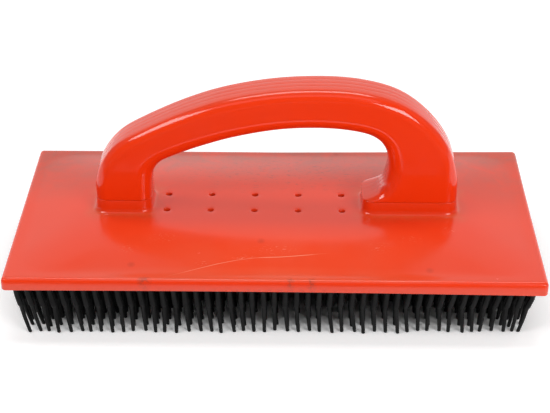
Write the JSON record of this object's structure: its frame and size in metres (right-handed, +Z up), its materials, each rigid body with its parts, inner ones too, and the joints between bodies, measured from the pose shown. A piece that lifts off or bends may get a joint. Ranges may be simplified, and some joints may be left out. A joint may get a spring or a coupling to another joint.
{
  "type": "hand float with rubber pin mat",
  "caption": "Flat-bottomed hand float: a domed plastic plate with an arched screwed-on handle and a rubber mat of upright pins underneath, for scrubbing and texturing by hand.",
  "frame": {"origin": "on the floor plane of the pin tips, under the middle of the plate", "axes": "+X along the plate towards the handle's broad foot, +Y across the plate, +Z up from the pin tips to the handle"},
  "size_m": [0.28, 0.14, 0.1141],
  "materials": {
    "red_plastic": "glossy injection-moulded plastic, plate",
    "handle_plastic": "glossy injection-moulded plastic, handle",
    "black_rubber": "matte moulded rubber",
    "zinc_steel": "zinc-plated steel"
  },
  "bodies": {
    "root": {"base_plate": "red_plastic", "handle": "handle_plastic", "bristle_mat": "black_rubber", "screw_left_outer": "zinc_steel", "screw_left_inner": "zinc_steel", "screw_right_inner": "zinc_steel", "screw_right_outer": "zinc_steel"}
  },
  "joints": []
}
